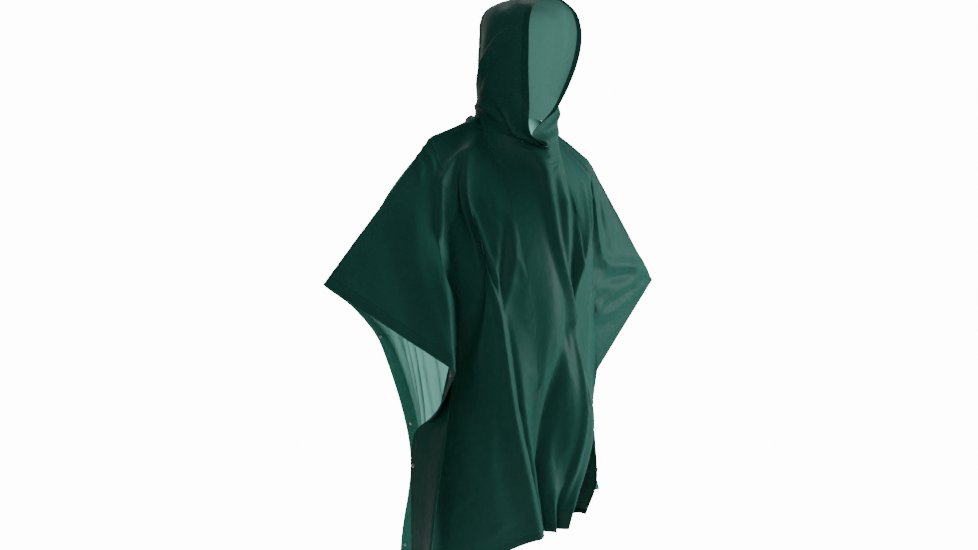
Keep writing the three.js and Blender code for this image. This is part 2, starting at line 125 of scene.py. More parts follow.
BACK_LINES = {
    -660: [(-388, 52, -385), (-275, 118, -475), (-281, 15, -680), (-279, 50, -880), (-284, 58, -1110)],
    -630: [(-376, 60, -372), (-254, 99, -472), (-260, -4, -678), (-258, 31, -880), (-263, 39, -1100)],
    -560: [(-355, 95, -345), (-215, 165, -468), (-218, 62, -675), (-215, 98, -880), (-225, 105, -1085)],
    -450: [(-325, 130, -300), (-168, 215, -425), (-140, 165, -665), (-135, 185, -870), (-150, 175, -1050)],
    -340: [(-285, 150, -240), (-145, 228, -385), (-95, 205, -640), (-80, 235, -850), (-85, 235, -1020)],
    -220: [(-215, 150, -175), (-135, 212, -335), (-70, 225, -560), (-35, 215, -790), (-30, 210, -985)],
    -110: [(-115, 165, -115), (-85, 205, -285), (-15, 245, -525), (15, 255, -745), (15, 262, -965)],
    0: [(0, 175, -150), (8, 195, -315), (40, 225, -545), (60, 215, -750), (65, 205, -965)],
    110: [(115, 165, -120), (110, 208, -290), (105, 240, -525), (115, 255, -740), (115, 265, -950)],
    220: [(215, 152, -205), (185, 210, -360), (165, 205, -585), (165, 200, -790), (165, 195, -940)],
    340: [(300, 185, -270), (250, 240, -420), (225, 235, -620), (225, 245, -790), (225, 255, -925)],
    450: [(375, 205, -345), (300, 235, -475), (270, 215, -640), (275, 190, -785), (265, 165, -905)],
    560: [(425, 215, -430), (340, 215, -505), (330, 230, -640), (345, 225, -770), (345, 205, -885)],
    660: [(450, 205, -500), (352, 192, -530), (365, 195, -645), (398, 168, -768), (410, 140, -868)],
}

# %% Guide lines of the hood
HOOD_PLACES = (0, 0.25, 0.5, 0.75, 1)
HOOD_STATIONS = (0, 0.1, 0.27, 0.56, 0.82, 1)
NAPE_LINE = [(0, 85, 35), (0, 88, 62), (0, 92, 105), (0, 88, 180), (0, 68, 240), (0, 42, 268)]
HOOD_LINES = {
    "right": [
        NAPE_LINE,
        [(-60, 64, 32), (-58, 62, 58), (-54, 58, 105), (-50, 54, 185), (-46, 44, 250), (0, 12, 284)],
        [(-90, 10, 20), (-93, 5, 48), (-95, 0, 105), (-93, -10, 188), (-64, -14, 258), (0, -32, 290)],
        [(-76, -58, -22), (-84, -62, 18), (-90, -65, 98), (-90, -70, 190), (-64, -72, 258), (0, -76, 289)],
        [(0, -110, -46), (-64, -121, -20), (-67, -119, 45), (-74, -124, 145),
         (-62, -122, 242), (0, -118, 283)],
    ],
    "left": [
        NAPE_LINE,
        [(62, 66, 32), (64, 67, 58), (68, 66, 105), (68, 60, 185), (50, 44, 250), (0, 12, 284)],
        [(90, 10, 20), (93, 5, 48), (95, 0, 105), (98, -10, 188), (76, -14, 258), (0, -32, 290)],
        [(74, -58, -20), (70, -62, 20), (62, -66, 85), (84, -70, 180), (74, -72, 256), (0, -76, 289)],
        [(0, -110, -46), (-62, -122, -20), (22, -112, 40), (90, -110, 160),
         (82, -110, 244), (0, -118, 283)],
    ],
}

# %% [markdown]
# ## A smooth curve through guide points
# A modeller could loft these lines by hand. Here a spline does it: each place on the sheet takes a
# share of its nearest four guides.

# %% Shares of the guides
def shares(places, at):
    """One row for each place asked for: how much every guide counts there."""
    places, at = np.asarray(places, float), np.asarray(at, float)
    last = len(places) - 1
    first = np.clip(np.searchsorted(places, at, side="left") - 1, 0, last - 1)
    span = places[first + 1] - places[first]
    t = np.clip((at - places[first]) / span, 0, 1)
    table = np.zeros((len(at), len(places)))
    row = np.arange(len(at))
    np.add.at(table, (row, first), 2 * t**3 - 3 * t**2 + 1)
    np.add.at(table, (row, first + 1), 3 * t**2 - 2 * t**3)
    for guide, slope in ((first, t**3 - 2 * t**2 + t), (first + 1, t**3 - t**2)):
        before, after = np.maximum(guide - 1, 0), np.minimum(guide + 1, last)
        pull = slope * span / (places[after] - places[before])
        np.add.at(table, (row, after), pull)
        np.add.at(table, (row, before), -pull)
    return table


def through(places, stations, guides, across, along):
    """Points on the surface that the guide lines span."""
    guides = np.asarray(guides, float) * MM
    return np.einsum("ng,ns,gsd->nd", shares(places, across), shares(stations, along), guides)


def hood_points(side, around, up):
    return through(HOOD_PLACES, HOOD_STATIONS, HOOD_LINES[side], around, up)


# %% Where the draped sheet lies
def by_side(across, right, left):
    return np.where((across < 0)[:, None], right, left)


def neck_rim(across, is_front):
    turn = np.arcsin(np.clip(np.abs(across) / NECK_HALF_WIDTH, 0, 1)) / np.pi
    around = 1 - turn if is_front else turn
    low = np.zeros(len(across))
    return by_side(across, hood_points("right", around, low), hood_points("left", around, low))


def sleeve_point(across, name):
    right, left = (np.array(SLEEVES[side][name]) * MM for side in ("right", "left"))
    return by_side(across, right[None], left[None])


def sleeve_share(across):
    reach = (np.abs(across) - SHOULDER_ACROSS) / (HALF_WIDTH - SHOULDER_ACROSS)
    return np.clip(reach, 0, 1)


def top_line(across, is_front):
    """The neck rim, then the fold over the shoulder, then the fold over the arm."""
    reach = np.abs(across)
    rim = neck_rim(across, is_front)
    neck_side = neck_rim(np.sign(across + 1e-9) * NECK_HALF_WIDTH, is_front)
    shoulder = sleeve_point(across, "shoulder")
    out = np.clip((reach - NECK_HALF_WIDTH) / (SHOULDER_ACROSS - NECK_HALF_WIDTH), 0, 1)[:, None]
    slope = neck_side + (shoulder - neck_side) * out
    arm = shoulder + (sleeve_point(across, "corner") - shoulder) * sleeve_share(across)[:, None]
    line = np.where((reach < SHOULDER_ACROSS)[:, None], slope, arm)
    return np.where((reach < NECK_HALF_WIDTH)[:, None], rim, line)


def neck_drop(across, is_front):
    share = np.minimum(np.abs(across) / NECK_HALF_WIDTH, 1)
    return (NECK_FRONT_DROP if is_front else NECK_BACK_DROP) * np.sqrt(1 - share**2)


def fold_drop(across, is_front):
    return SLEEVE_DROP * sleeve_share(across) * (1 if is_front else 0)


def fold_point(across, is_front):
    share = sleeve_share(across)[:, None]
    shoulder = sleeve_point(across, "shoulder")
    slanted = shoulder + (sleeve_point(across, "tip") - shoulder) * share
    return np.where((share > 0) & is_front, slanted, top_line(across, is_front))


def draped(across, down, is_front):
    """Points of the front or the back at flat places."""
    lines = FRONT_LINES if is_front else BACK_LINES
    stations = FRONT_STATIONS if is_front else BACK_STATIONS
    drop = FRONT_DROP if is_front else BACK_DROP
    places = np.array(list(lines), float) * MM
    tops = fold_point(places, is_front) / MM
    guides = [[tuple(top), *points] for top, points in zip(tops, lines.values())]
    start = np.maximum(neck_drop(across, is_front), fold_drop(across, is_front))
    share = np.clip((down - start) / (drop - start), 0, 1)
    body = through(places, stations, guides, across, share)
    first = shares(places, across) @ (tops * MM)
    fade = np.clip(1 - share / stations[1], 0, 1) ** 2
    body = body + (fold_point(across, is_front) - first) * fade[:, None]
    reach = sleeve_point(across, "tip") - sleeve_point(across, "corner")
    sleeve = top_line(across, is_front) + reach * (down / SLEEVE_DROP)[:, None]
    on_sleeve = (down < start) & (sleeve_share(across) > 0)
    return np.where(on_sleeve[:, None], sleeve, body)


# %% [markdown]
# ## Laying out the grid
# The sheet is made as a grid of small cells, four to eight millimetres wide, as a tailor's chalk
# lines would be. The rows bend along the fold of the sleeve, so that the fold stays sharp. The
# back's rows run on from the front's over the shoulders, which makes one continuous sheet.

# %% Grid of flat places
COLUMNS_CHEST = 44
COLUMNS_SIDE = 46
COLUMNS_NECK = 20
CHEST_ACROSS = 0.290
ROWS_SLEEVE = 44
ROWS_FRONT = 160
ROWS_YOKE_BACK = 12
ROWS_BACK = 138
HEM_COLUMNS = 5
HEM_ROWS = 4
TINY = 1e-6

inner = NECK_HALF_WIDTH * np.sin(np.linspace(0, np.pi / 2, COLUMNS_NECK + 1))
chest = np.linspace(NECK_HALF_WIDTH, CHEST_ACROSS, COLUMNS_CHEST, endpoint=False)
sides = np.linspace(CHEST_ACROSS, HALF_WIDTH - SIDE_HEM, COLUMNS_SIDE)
hem = np.linspace(HALF_WIDTH - SIDE_HEM, HALF_WIDTH, HEM_COLUMNS)
half = np.concatenate([inner[:-1], chest, sides, hem[1:]])
columns = np.concatenate([-half[:0:-1], half])
outside_neck = np.abs(columns) >= NECK_HALF_WIDTH - TINY


def panel_drops(is_front):
    """How far down each grid row is, one line for each column."""
    top = neck_drop(columns, is_front)
    knee = np.maximum(fold_drop(columns, is_front), top + YOKE_DEPTH)
    drop = FRONT_DROP if is_front else BACK_DROP
    above, below = (ROWS_SLEEVE, ROWS_FRONT) if is_front else (ROWS_YOKE_BACK, ROWS_BACK)
    hem_rows = np.linspace(drop - BOTTOM_HEM, drop, HEM_ROWS)
    upper = top[:, None] + (knee - top)[:, None] * np.linspace(0, 1, above, endpoint=False)
    lower = knee[:, None] + (drop - BOTTOM_HEM - knee)[:, None] * np.linspace(0, 1, below)
    return np.hstack([upper, lower, np.tile(hem_rows[1:], (len(columns), 1))])


def grid_of(is_front):
    drops = panel_drops(is_front)
    across = np.repeat(columns, drops.shape[1])
    points = draped(across, drops.ravel(), is_front)
    return drops, points.reshape(*drops.shape, 3)


front_drops, front_grid = grid_of(True)
back_drops, back_grid = grid_of(False)
flat_down = np.hstack([-back_drops[:, ::-1], front_drops])
flat_across = np.repeat(columns[:, None], flat_down.shape[1], axis=1)
flat_grid = np.stack([flat_across, flat_down, np.zeros_like(flat_down)], axis=-1)
base = np.concatenate([back_grid[:, ::-1], front_grid], axis=1)
TOP_ROW = back_drops.shape[1]
print("grid:", base.shape[0], "columns,", base.shape[1], "rows")

# %% [markdown]
# ## Creases
# Vinyl keeps creases: sharp where it was packed or pinched, soft where it only hangs. Each row
# below is one crease as chalk would mark it on the flat sheet. It gives the half width, how sharp
# its top is from 0 to 1, and the places that it runs through, each with its height there. All are
# in millimetres, and a trough has a negative height. They could be sculpted, but a short table is
# easier to change one fold at a time.

# %% Creases of the front
FRONT_CREASES = {
    "near neck to hem": (22, 0.55, [
        (-108, 24, 4), (-122, 38, 9), (-153, 82, 13), (-179, 140, 15), (-194, 168, 16), (-206, 230, 17),
        (-200, 299, 17), (-186, 364, 17), (-184, 408, 17), (-192, 470, 16),
        (-197, 553, 16), (-197, 618, 16),
        (-192, 727, 17), (-188, 814, 17), (-184, 930, 14)]),
    "right edge of that fold": (8, 0.4, [
        (-166, 430, -3), (-168, 500, -8), (-170, 618, -12), (-164, 727, -13),
        (-160, 814, -13), (-156, 930, -10)]),
    "second near fold": (9, 0.7, [
        (-179, 178, 3), (-170, 220, 7), (-164, 290, 8), (-161, 350, 7), (-168, 395, 3)]),
    "between those two": (8, 0.2, [(-188, 215, -3), (-182, 290, -6), (-172, 350, -4)]),
    "slit": (5, 0.3, [
        (-112, 222, -2), (-122, 262, -7), (-134, 306, -10), (-153, 360, -10), (-172, 412, -4)]),
    "lip of the slit": (8, 0.8, [
        (-101, 228, 3), (-106, 270, 7), (-114, 310, 8), (-136, 368, 7), (-166, 412, 3)]),
    "left of the slit": (7, 0.7, [(-122, 232, 2), (-139, 290, 6), (-158, 340, 5), (-172, 380, 2)]),
    "near shoulder facet": (13, 0.7, [
        (-148, 60, 5), (-195, 64, 11), (-237, 67, 14), (-290, 70, 16), (-326, 87, 15), (-362, 110, 13),
        (-400, 136, 9), (-425, 170, 3)]),
    "facet's lower edge": (10, 0.7, [
        (-160, 76, 4), (-190, 94, 8), (-222, 112, 9), (-280, 128, 8), (-332, 146, 4)]),
    "valley under the facet": (34, 0, [
        (-165, 100, -3), (-240, 160, -10), (-300, 230, -16), (-330, 330, -16),
        (-330, 450, -12), (-300, 600, -6)]),
    "valley beside the sleeve": (24, 0.2, [
        (-300, 60, -3), (-400, 110, -9), (-450, 170, -9), (-420, 260, -6)]),
    "far neck to pinch": (15, 0.65, [
        (-46, 112, 6), (-30, 124, 11), (-20, 140, 14), (-12, 175, 16), (-10, 226, 17), (-6, 277, 17),
        (-2, 334, 17), (12, 397, 17), (44, 458, 16), (66, 492, 10)]),
    "left of the far neck fold": (7, 0.2, [
        (-30, 200, -1), (-28, 256, -4), (-24, 320, -5), (-10, 400, -6), (16, 466, -6),
        (36, 530, -5), (30, 600, -2)]),
    "right of the far neck fold": (11, 0, [
        (8, 150, -4), (16, 200, -8), (14, 290, -9), (24, 370, -9), (50, 430, -7)]),
    "middle of the far chest": (9, 0.7, [
        (-6, 128, 3), (22, 159, 8), (37, 238, 11), (31, 304, 11), (36, 372, 9), (56, 432, 4)]),
    "far chest valley": (17, 0, [
        (80, 160, -4), (84, 219, -10), (70, 284, -14), (58, 350, -12), (62, 420, -8)]),
    "far shoulder to pinch": (13, 0.65, [
        (176, 112, 5), (158, 160, 10), (135, 212, 14), (106, 290, 16), (86, 356, 16),
        (72, 420, 15), (70, 462, 12)]),
    "right of the far shoulder fold": (13, 0, [
        (206, 120, -3), (176, 200, -10), (146, 290, -12), (118, 370, -10)]),
    "next to the sleeve": (12, 0.6, [
        (236, 44, 3), (222, 110, 8), (196, 200, 9), (168, 290, 6), (150, 360, 3)]),
    "pinch, one way": (6, 0.8, [(54, 452, 2), (72, 470, 8), (92, 496, 3)]),
    "pinch, other way": (6, 0.8, [(92, 446, 3), (74, 468, 9), (62, 506, 3)]),
    "below the pinch": (13, 0.6, [
        (80, 482, 8), (80, 530, 14), (74, 600, 15), (66, 691, 13), (62, 788, 10), (60, 870, 5)]),
    "right of the pinch": (12, 0, [(104, 440, -5), (116, 500, -10), (118, 580, -10), (112, 660, -5)]),
    "valley to the hem": (22, 0.2, [
        (40, 500, -8), (0, 560, -16), (-38, 658, -20), (-70, 755, -20), (-106, 830, -12)]),
    "crumpled corner": (9, 0.5, [(80, 800, 2), (60, 822, 4), (20, 846, 4), (-20, 856, 2)]),
    "corner, second": (6, 0.8, [(30, 812, 1), (20, 838, 5), (-4, 862, 2)]),
    "chest crinkle 1": (5, 0.7, [(-180, 168, 3), (-160, 176, 6), (-140, 172, 2)]),
    "chest crinkle 2": (5, 0.7, [(-146, 168, 2), (-136, 186, 6), (-140, 206, 2)]),
    "chest crinkle 3": (5, 0.7, [(-128, 166, 1), (-120, 190, 5), (-126, 218, 2)]),
    "chest crinkle 4": (5, 0.7, [(-150, 214, 1), (-138, 226, 5), (-126, 250, 2)]),
    "chest crinkle 5": (5, 0.6, [(-156, 262, 1), (-146, 276, 4), (-140, 300, 1)]),
    "belly crinkle 1": (5, 0.6, [(-112, 300, 1), (-102, 322, 4), (-106, 350, 1)]),
    "belly crinkle 2": (4, 0.6, [(-124, 368, 1), (-108, 374, 3), (-92, 368, 1)]),
    "belly crinkle 3": (4, 0.6, [(-128, 388, 1), (-110, 396, 4), (-94, 388, 1)]),
    "belly crinkle 4": (4, 0.6, [(-126, 410, 1), (-110, 416, 4), (-92, 412, 1)]),
    "belly crinkle 5": (4, 0.6, [(-124, 432, 1), (-108, 438, 4), (-92, 432, 1)]),
    "belly crinkle 6": (4, 0.6, [(-120, 452, 1), (-106, 460, 3), (-92, 456, 1)]),
    "low front 1": (24, 0.4, [(-240, 560, 1), (-262, 700, 7), (-250, 860, 4)]),
    "low front 2": (22, 0.3, [(-112, 560, 1), (-120, 700, -7), (-104, 880, -4)]),
    "low front 3": (26, 0.3, [(-60, 480, 1), (-80, 600, 6), (-60, 700, 1)]),
    "low side 1": (20, 0.5, [(-360, 640, 2), (-350, 760, 8), (-368, 900, 5)]),
    "low side 2": (22, 0.4, [(-430, 560, 2), (-440, 700, -7), (-420, 880, -4)]),
}

# %% Creases of the sleeves and shoulders
SLEEVE_CREASES = {
    "near shoulder crimp 1": (7, 0.7, [(-226, -12, 2), (-240, 26, 6), (-256, 62, 1)]),
    "near shoulder crimp 2": (7, 0.7, [(-248, -10, 2), (-268, 24, 6), (-292, 48, 1)]),
    "near shoulder crimp 3": (8, 0.6, [(-274, -8, 2), (-304, 22, 5), (-340, 38, 1)]),
    "near shoulder slope": (14, 0.4, [(-118, -6, 2), (-160, 10, 5), (-205, 12, 2)]),
    "tuck at the neck": (12, 0.4, [(-100, -42, 8), (-110, -16, 24), (-116, 8, 9)]),
    "near sleeve 1": (26, 0.4, [(-400, 60, 2), (-500, 120, 5), (-600, 230, 2)]),
    "near sleeve 2": (30, 0.2, [(-460, 30, -1), (-550, 110, -5), (-640, 190, -2)]),
    "near sleeve 3": (16, 0.6, [(-470, 150, 1), (-520, 190, 5), (-580, 260, 2)]),
    "near sleeve corner": (12, 0.6, [(-600, 236, 1), (-628, 262, 4), (-640, 292, 2)]),
    "near hem crimp 1": (6, 0.5, [(-628, 40, 1), (-648, 52, 3), (-660, 50, 1)]),
    "near hem crimp 2": (6, 0.5, [(-624, 96, 1), (-646, 104, 3), (-660, 112, 1)]),
    "near hem crimp 3": (6, 0.5, [(-626, 160, 1), (-646, 158, 3), (-660, 166, 1)]),
    "near hem crimp 4": (6, 0.5, [(-628, 214, 1), (-646, 222, 3), (-660, 220, 1)]),
    "far shoulder": (14, 0.6, [(245, 10, 5), (300, 45, 11), (370, 85, 13), (430, 110, 10), (466, 111, 4)]),
    "far shoulder edge": (12, 0.6, [(120, 20, 3), (180, 30, 6), (240, 40, 5), (290, 70, 2)]),
    "far upper sleeve 1": (8, 0.6, [(322, 14, 2), (376, 42, 6), (420, 60, 2)]),
    "far upper sleeve 2": (7, 0.6, [(400, 30, 1), (440, 62, 5), (480, 74, 2)]),
    "far elbow 1": (18, 0.4, [(440, 120, 4), (478, 108, 10), (520, 70, 12), (558, 42, 9), (590, 10, 4)]),
    "far elbow 2": (15, 0.4, [(430, 200, 5), (474, 157, 12), (512, 100, 13), (558, 47, 9), (580, 16, 3)]),
    "far elbow 3": (15, 0.4, [(440, 245, 4), (497, 167, 12), (558, 100, 12), (597, 35, 9), (616, 6, 3)]),
    "far elbow valley 1": (12, 0, [(440, 180, -4), (494, 116, -7), (546, 62, -6)]),
    "far elbow valley 2": (12, 0, [(440, 224, -4), (504, 134, -8), (574, 56, -7)]),
    "far elbow loop": (12, 0.4, [
        (522, 226, 3), (535, 200, 9), (551, 149, 12), (581, 106, 11), (604, 54, 6)]),
    "far elbow loop, low": (12, 0.4, [
        (540, 228, 3), (562, 199, 9), (590, 156, 10), (612, 100, 9), (640, 36, 6)]),
    "inside the loop": (9, 0, [(548, 184, -6), (580, 134, -8), (606, 80, -6)]),
    "far cuff 1": (6, 0.6, [(596, 240, 1), (618, 214, 4), (640, 190, 2)]),
    "far cuff 2": (6, 0.6, [(606, 268, 1), (626, 246, 4), (650, 226, 2)]),
    "far sleeve valley": (20, 0, [(330, 120, -6), (400, 180, -12), (430, 260, -9)]),
}

# %% Creases of the back
BACK_CREASES = {
    "near shoulder to hem": (30, 0.3, [
        (-250, -60, 4), (-290, -240, 9), (-330, -420, 9), (-345, -700, 12), (-352, -1100, 14)]),
    "near blade": (28, 0, [(-120, -90, -3), (-145, -300, -9), (-170, -520, -13), (-172, -1100, -15)]),
    "middle": (30, 0.3, [(40, -110, 3), (30, -350, 8), (-40, -620, 14), (-55, -1100, 18)]),
    "far blade": (28, 0, [(170, -90, -3), (200, -300, -9), (226, -560, -13), (230, -1100, -15)]),
    "far shoulder to hem": (30, 0.4, [
        (300, -60, 3), (340, -240, 9), (380, -420, 9), (398, -760, 12), (400, -1100, 14)]),
    "near side fold": (28, 0.2, [(-480, -300, -3), (-500, -600, -9), (-520, -1100, -12)]),
    "far side fold": (28, 0.2, [(480, -420, -3), (490, -700, -9), (500, -1100, -12)]),
    "hem fold 1": (28, 0.2, [(-400, -440, 2), (-420, -700, 12), (-430, -1100, 18)]),
    "hem fold 2": (26, 0.2, [(-262, -460, 3), (-268, -740, 12), (-270, -1100, 16)]),
    "hem fold 3": (26, 0, [(62, -560, -3), (66, -800, -12), (70, -1100, -18)]),
    "hem fold 4": (28, 0.2, [(150, -500, 3), (160, -780, 12), (166, -1100, 16)]),
    "hem fold 5": (30, 0.2, [(290, -460, 3), (300, -760, 14), (306, -1100, 20)]),
    "near edge": (20, 0.3, [(-604, -420, 2), (-600, -700, 6), (-606, -1100, 8)]),
    "far edge": (22, 0.3, [(604, -440, 2), (600, -700, 8), (606, -1100, 10)]),
    "across the shoulders": (26, 0.3, [(-190, -60, 2), (-60, -110, 6), (90, -116, 6), (210, -60, 2)]),
}
print("creases:", len(FRONT_CREASES) + len(SLEEVE_CREASES) + len(BACK_CREASES))


# %% Raise the creases
POINT_FALL = 2.6
POINT_ROUND = 0.004
POINT_LIFT = 0.164


def crease_height(across, down, tables):
    """Height in metres above the smooth drape, at flat places."""
    height = np.zeros_like(across)
    for table in tables:
        for width, sharp, places in table.values():
            nearest = np.full_like(across, 1e9)
            rise = np.zeros_like(across)
            for (x0, y0, h0), (x1, y1, h1) in zip(places, places[1:]):
                dx, dy = (x1 - x0) * MM, (y1 - y0) * MM
                along = ((across - x0 * MM) * dx + (down - y0 * MM) * dy) / (dx * dx + dy * dy)
                t = np.clip(along, 0, 1)
                off = np.hypot(across - x0 * MM - dx * t, down - y0 * MM - dy * t)
                closer = off < nearest
                nearest = np.where(closer, off, nearest)
                rise = np.where(closer, h0 + (h1 - h0) * t, rise)
            off = nearest / (width * MM)
            pointed = np.exp(-POINT_FALL * np.sqrt(off * off + POINT_ROUND) + POINT_LIFT)
            height += rise * MM * ((1 - sharp) * np.exp(-off * off) + sharp * pointed)
    return height


def normals_of(grid):
    across = np.gradient(grid, axis=0)
    down = np.gradient(grid, axis=1)
    normal = np.cross(across, -down)
    return normal / np.maximum(np.linalg.norm(normal, axis=2, keepdims=True), 1e-9)


def sheet_normals(grid):
    """Outward directions, which turn smoothly over the shoulders and end at the neck hole."""
    apart = np.concatenate([normals_of(grid[:, :TOP_ROW]), normals_of(grid[:, TOP_ROW:])], axis=1)
    joined = normals_of(np.delete(grid, TOP_ROW, axis=1))
    joined = np.insert(joined, TOP_ROW, joined[:, TOP_ROW - 1], axis=1)
    return np.where(outside_neck[:, None, None], joined, apart)


NECK_FADE = 0.014
neck_depth = np.where(flat_down < 0, NECK_BACK_DROP, NECK_FRONT_DROP)
from_neck = (np.hypot(flat_across / NECK_HALF_WIDTH, flat_down / neck_depth) - 1) * NECK_HALF_WIDTH
fade = np.clip(from_neck / NECK_FADE, 0, 1)
out = sheet_normals(base)
height = crease_height(flat_across, flat_down, (FRONT_CREASES, SLEEVE_CREASES, BACK_CREASES)) * fade
creased = base + out * height[..., None]
print(f"creases from {height.min() / MM:.1f} to {height.max() / MM:.1f} mm")

# %% [markdown]
# ## Letting the vinyl settle
# Cloth can bend but hardly stretch. The shaped grid is nudged until its cells are close to the
# size they were cut to, while it is held near its place and resists sharp bends. Where there is
# more vinyl than room, it buckles, as it does on the real one. It is done here, and not with a
# cloth simulation, because it starts from the listed folds and keeps them. A
# light smoothing at the end takes out the zigzag that the grid leaves across a slanted crease.

# %% Helpers for settling
def groups(shape, reach):
    """Pairs of grid points that lie one reach apart, in groups that share no point."""
    index = np.arange(shape[0] * shape[1]).reshape(shape)
    step_across, step_down = reach
    size = max(abs(step_across), abs(step_down))
    ends = index[step_across:, max(step_down, 0):shape[1] + min(step_down, 0)]
    starts = index[:shape[0] - step_across, max(-step_down, 0):shape[1] - max(step_down, 0)]
    axis = 0 if step_across else 1
    parity = np.arange(starts.shape[axis]) // size % 2
    for turn in (0, 1):
        yield [np.compress(parity == turn, part, axis).ravel() for part in (starts, ends)]


def ties_of(start, most, reaches):
    """Groups with the length that each is drawn to, kept within a share of its present length."""
    ties = []
    for reach in reaches:
        for one, other in groups(shape, reach):
            keep = ~over_the_neck(one, other)
            one, other = one[keep], other[keep]
            now = np.linalg.norm(start[one] - start[other], axis=1)
            cut = np.linalg.norm(flat_places[one] - flat_places[other], axis=1)
            ties.append((one, other, np.clip(cut, MOST_SHORTER * now, most[one] * now)))
    return ties


def pull(points, ties, strength, only_push=False):
    for one, other, rest in ties:
        gap = points[other] - points[one]
        now = np.maximum(np.linalg.norm(gap, axis=1), 1e-9)
        excess = (now - rest) / now
        if only_push:
            excess = np.minimum(excess, 0)
        move = gap * (0.5 * strength * excess)[:, None]
        points[one] += move
        points[other] -= move


def ripple(across, down):
    """A small uneven waviness, from a few crossed waves, that gives the buckles somewhere to start."""
    waves = ((41, 9, 0.3), (-23, 31, 1.9), (67, -17, 4.1), (13, 55, 2.2), (-88, -29, 5.3), (52, 73, 0.9))
    total = 0
    for a, b, c in waves:
        bend = 2 * np.sin(3 * across - 5 * down + c)
        total = total + np.sin(a * across + b * down + c + bend)
    return total / len(waves)


def smooth(grid, start, stop):
    """Move each point of a range of rows a little toward its four neighbours."""
    for _ in range(SMOOTH_STEPS):
        inside = grid[1:-1, start:stop]
        beside = grid[2:, start:stop] + grid[:-2, start:stop]
        in_line = grid[1:-1, start + 1:stop + 1] + grid[1:-1, start - 1:stop - 1]
        grid[1:-1, start:stop] = inside * 0.5 + (beside + in_line) * 0.125


# %% Settle the body sheet
SETTLE_STEPS = 160
MOST_SHORTER = 0.97
MOST_LONGER = 1.02
MOST_LONGER_BEHIND = 1.08
CALM_EDGE = 0.09
CALM_START = 0.3
RIPPLE = 0.0012
PULL_SQUARE = 0.9
PULL_SLANTED = 0.25
PUSH_BENT = 0.2
HOLD = 0.008
HOLD_TOP = 0.5
SAG = 0.00002
SMOOTH_STEPS = 2

shape = flat_across.shape
flat_places = flat_grid.reshape(-1, 3)
row_of = np.tile(np.arange(shape[1]), shape[0])
in_neck = np.repeat(~outside_neck, shape[1])


def over_the_neck(one, other):
    apart = (row_of[one] < TOP_ROW) != (row_of[other] < TOP_ROW)
    return apart & (in_neck[one] | in_neck[other])


waviness = ripple(flat_across, flat_down) * RIPPLE * fade
settled = (creased + out * waviness[..., None]).reshape(-1, 3)
calm = np.clip((HALF_WIDTH - np.abs(flat_places[:, 0])) / CALM_EDGE - CALM_START, 0, 1)
most = 1 + (np.where(flat_places[:, 1] < 0, MOST_LONGER_BEHIND, MOST_LONGER) - 1) * calm
square = ties_of(settled, most, ((1, 0), (0, 1)))
slanted = ties_of(settled, most, ((1, 1), (1, -1)))
bent = ties_of(settled, most, ((3, 0), (0, 3)))
home = creased.reshape(-1, 3)
hold = HOLD + HOLD_TOP * (1 - fade.reshape(-1)) ** 2
for _ in range(SETTLE_STEPS):
    settled[:, 2] -= SAG
    pull(settled, square, PULL_SQUARE)
    pull(settled, slanted, PULL_SLANTED)
    pull(settled, bent, PUSH_BENT, only_push=True)
    settled += (home - settled) * hold[:, None]
    grid = settled.reshape(*shape, 3)
    middle = (grid[outside_neck, TOP_ROW - 1] + grid[outside_neck, TOP_ROW]) / 2
    grid[outside_neck, TOP_ROW - 1] = middle
    grid[outside_neck, TOP_ROW] = middle
moved = np.linalg.norm(settled - home, axis=1) / MM
creased = settled.reshape(*shape, 3)
smooth(creased, 1, TOP_ROW - 1)
smooth(creased, TOP_ROW + 1, shape[1] - 1)
print(f"settled, moved {moved.mean():.1f} mm on average, {moved.max():.1f} mm at most")

# %% [markdown]
# ## From grid to mesh
# The grid becomes a mesh with one face per square. Over the shoulders the front's first row and
# the back's first row are the same points, so they are merged. Inside the neck hole they aren't.

# %% Turn a grid into a mesh object
def grid_faces(count_across, count_down, skip=None):
    index = np.arange(count_across * count_down).reshape(count_across, count_down)
    corners = (index[:-1, :-1], index[:-1, 1:], index[1:, 1:], index[1:, :-1])
    faces = np.stack(corners, axis=-1)
    if skip is not None:
        faces = np.delete(faces, skip, axis=1)
    return faces.reshape(-1, 4)


def linked(name, points, faces):
    """A smooth-shaded mesh object in the scene."""
    mesh = bpy.data.meshes.new(name)
    mesh.from_pydata(points.tolist(), [], faces.tolist())
    mesh.polygons.foreach_set("use_smooth", np.ones(len(mesh.polygons), dtype=bool))
    obj = bpy.data.objects.new(name, mesh)
    bpy.context.collection.objects.link(obj)
    return obj


def cloth_object(name, points, faces, flat):
    """A cloth mesh on which each point keeps its flat place."""
    obj = linked(name, points.reshape(-1, 3), faces)
    place = obj.data.attributes.new("flat", "FLOAT_VECTOR", "POINT")
    place.data.foreach_set("vector", np.ascontiguousarray(flat, dtype=np.float32).ravel())
    obj.data.validate()
    return obj


def merged(count, faces, pairs):
    """Faces with the second point of each pair replaced by the first, and unused points dropped."""
    target = np.arange(count)
    target[pairs[:, 1]] = pairs[:, 0]
    faces = target[faces]
    used = np.unique(faces)
    renumber = np.zeros(count, dtype=int)
    renumber[used] = np.arange(len(used))
    return used, renumber[faces]


# %% Make the body sheet
across_count, down_count = creased.shape[:2]
faces = grid_faces(across_count, down_count, skip=TOP_ROW - 1)
front_start = np.nonzero(outside_neck)[0] * down_count + TOP_ROW
pairs = np.stack([front_start - 1, front_start], axis=1)
points = creased.reshape(-1, 3)
used, faces = merged(len(points), faces, pairs)
sheet = cloth_object("body_sheet", points[used], faces, flat_places[used])
print("body sheet:", len(sheet.data.polygons), "faces")

# %% [markdown]
# ## The hood
# Two mirrored halves are welded along the middle, over the head, and the rim of the hood is welded
# into the neck hole. Each half is a grid too, from the nape to the face edge. Its creases are marked
# on the height between the welds, which is a little less than the height it was cut to.

